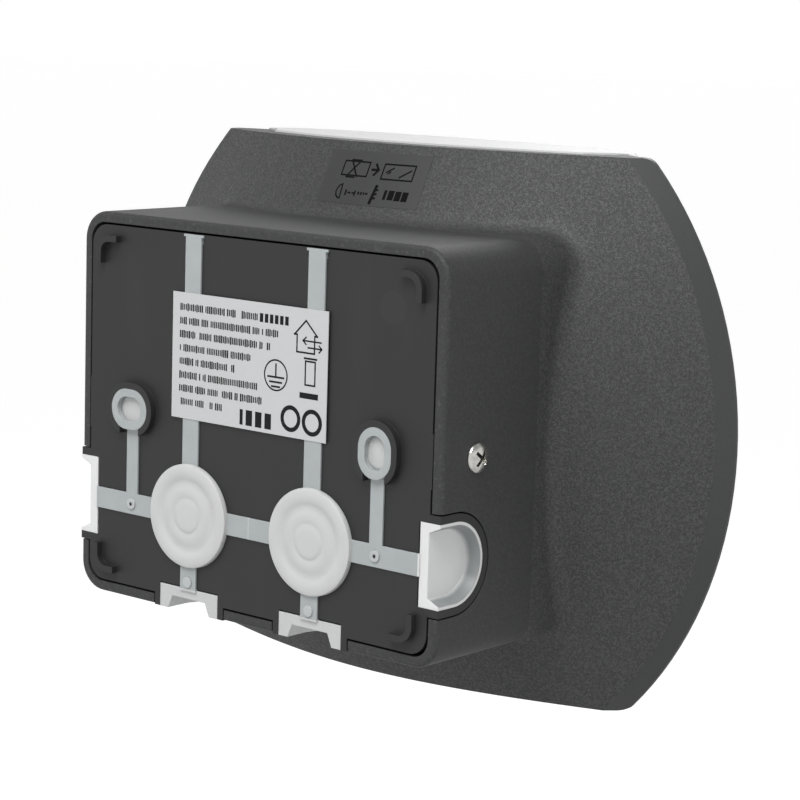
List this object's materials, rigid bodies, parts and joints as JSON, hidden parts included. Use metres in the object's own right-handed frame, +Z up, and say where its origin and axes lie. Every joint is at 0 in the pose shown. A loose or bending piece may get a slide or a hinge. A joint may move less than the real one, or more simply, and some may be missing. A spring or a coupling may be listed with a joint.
{
  "type": "motion sensor wall light",
  "caption": "Round-sided wall light with a flat top and bottom, an opal diffuser, a motion sensor pod and a rear box with a clip-in wall plate and soft cable entries.",
  "frame": {"origin": "middle of the wall plate, on the wall it is fixed to", "axes": "+Y into the wall (the light faces -Y), +Z up, +X to the right seen from the wall's front side looking along +Y"},
  "size_m": [0.212, 0.1073, 0.1488],
  "materials": {
    "housing_plastic": "grained dark grey",
    "plate_plastic": "fine matt dark grey",
    "opal_plastic": "opal, satin",
    "seal_rubber": "translucent white soft plastic",
    "dark_rubber": "matt black",
    "white_label": "satin white",
    "clear_film": "satin film",
    "zinc_steel": "bright zinc",
    "brass_metal": "plain",
    "white_plastic": "satin white",
    "tray_plastic": "matt white",
    "board_white": "white lacquered metal-core board",
    "board_green": "glass-fibre board, green lacquer",
    "chip_black": "moulded black",
    "led_yellow": "silicone over a white cup",
    "ferrite": "dark ferrite",
    "capacitor_sleeve": "printed sleeve, plain",
    "relay_blue": "moulded blue",
    "varistor_blue": "dipped",
    "fuse_glass": "white ceramic tube with caps",
    "pod_plastic": "fine matt dark grey",
    "lens_plastic": "milky, faceted inside",
    "can_metal": "gold-washed can",
    "lead_brown": "silicone insulation",
    "lead_blue": "silicone insulation",
    "lead_green": "silicone insulation",
    "lead_red": "silicone insulation",
    "lead_black": "silicone insulation",
    "lead_grey": "jacketed lead"
  },
  "bodies": {
    "lamp": {"housing": "housing_plastic", "diffuser": "opal_plastic", "diffuser_seal": "dark_rubber", "wall_plate": "plate_plastic", "cable_seal": "seal_rubber", "side_screws": "zinc_steel", "rating_label": "white_label", "film_label": "clear_film", "terminal_block": "white_plastic", "terminal_clamps": "brass_metal", "terminal_screws": "zinc_steel", "lead_gland": "dark_rubber", "live_lead": "lead_brown", "earth_lead": "lead_green", "neutral_lead": "lead_blue", "driver_board": "board_green", "driver_board_screws": "zinc_steel", "transformer": "ferrite", "bulk_capacitor": "capacitor_sleeve", "filter_choke": "ferrite", "fuse": "fuse_glass", "varistor": "varistor_blue", "bridge_rectifier": "chip_black", "driver_chip": "chip_black", "relay": "relay_blue", "reflector_tray": "tray_plastic", "tray_screws": "zinc_steel", "led_board": "board_white", "led_board_screws": "zinc_steel", "leds": "led_yellow", "led_lead_plus": "lead_red", "led_lead_minus": "lead_black", "sensor_pod": "pod_plastic", "pod_screws": "zinc_steel", "fresnel_lens": "lens_plastic", "lens_ring": "white_plastic", "sensor_board": "board_green", "sensor_board_screws": "zinc_steel", "motion_detector": "can_metal", "light_sensor": "led_yellow", "sensor_chip": "chip_black", "sensor_lead": "lead_grey", "time_knob_seal": "dark_rubber", "time_trimmer": "relay_blue", "dusk_knob_seal": "dark_rubber", "dusk_trimmer": "relay_blue", "range_knob_seal": "dark_rubber", "range_trimmer": "relay_blue"},
    "time_setting": {"time_knob": "white_plastic"},
    "dusk_setting": {"dusk_knob": "white_plastic"},
    "range_setting": {"range_knob": "white_plastic"}
  },
  "joints": [
    {"name": "time_turn", "type": "hinge", "parent": "lamp", "child": "time_setting", "pos_m": [-0.0135, -0.0816, -0.0736], "axis": [0, 0, -1], "range_deg": [-135, 135]},
    {"name": "dusk_turn", "type": "hinge", "parent": "lamp", "child": "dusk_setting", "pos_m": [0, -0.0816, -0.0736], "axis": [0, 0, -1], "range_deg": [-135, 135]},
    {"name": "range_turn", "type": "hinge", "parent": "lamp", "child": "range_setting", "pos_m": [0.0135, -0.0816, -0.0736], "axis": [0, 0, -1], "range_deg": [-135, 135]}
  ]
}
